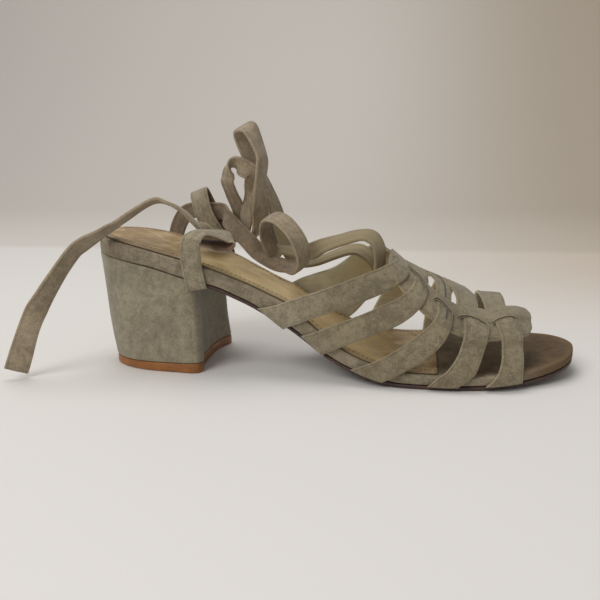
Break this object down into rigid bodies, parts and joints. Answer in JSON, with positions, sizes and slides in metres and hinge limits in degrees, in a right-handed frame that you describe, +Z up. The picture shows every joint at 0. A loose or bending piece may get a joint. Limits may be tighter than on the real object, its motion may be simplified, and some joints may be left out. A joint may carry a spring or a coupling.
{
  "type": "lace up heeled sandal",
  "caption": "Right lace-up sandal on a covered block heel, with a woven strap upper, two rear loops and two loose flat ties.",
  "frame": {"origin": "centre of the heel's ground face", "axes": "+X from heel to toe, +Y towards the wearer's other foot (medial side), +Z up"},
  "size_m": [0.2687, 0.0914, 0.1197],
  "materials": {
    "taupe_suede": "suede nap, matt",
    "taupe_strap_suede": "suede nap, matt, mottled",
    "gold_leather": "metallic leather, worn",
    "sole_leather": "satin",
    "top_piece_rubber": "satin"
  },
  "bodies": {
    "root": {"outsole": "sole_leather", "insole": "taupe_suede", "sock_lining": "gold_leather", "heel_block": "taupe_suede", "heel_top_piece": "top_piece_rubber", "upper": "taupe_strap_suede", "outer_rear_loop": "taupe_strap_suede", "inner_rear_loop": "taupe_strap_suede", "inner_tie": "taupe_strap_suede", "outer_tie": "taupe_strap_suede"}
  },
  "joints": []
}
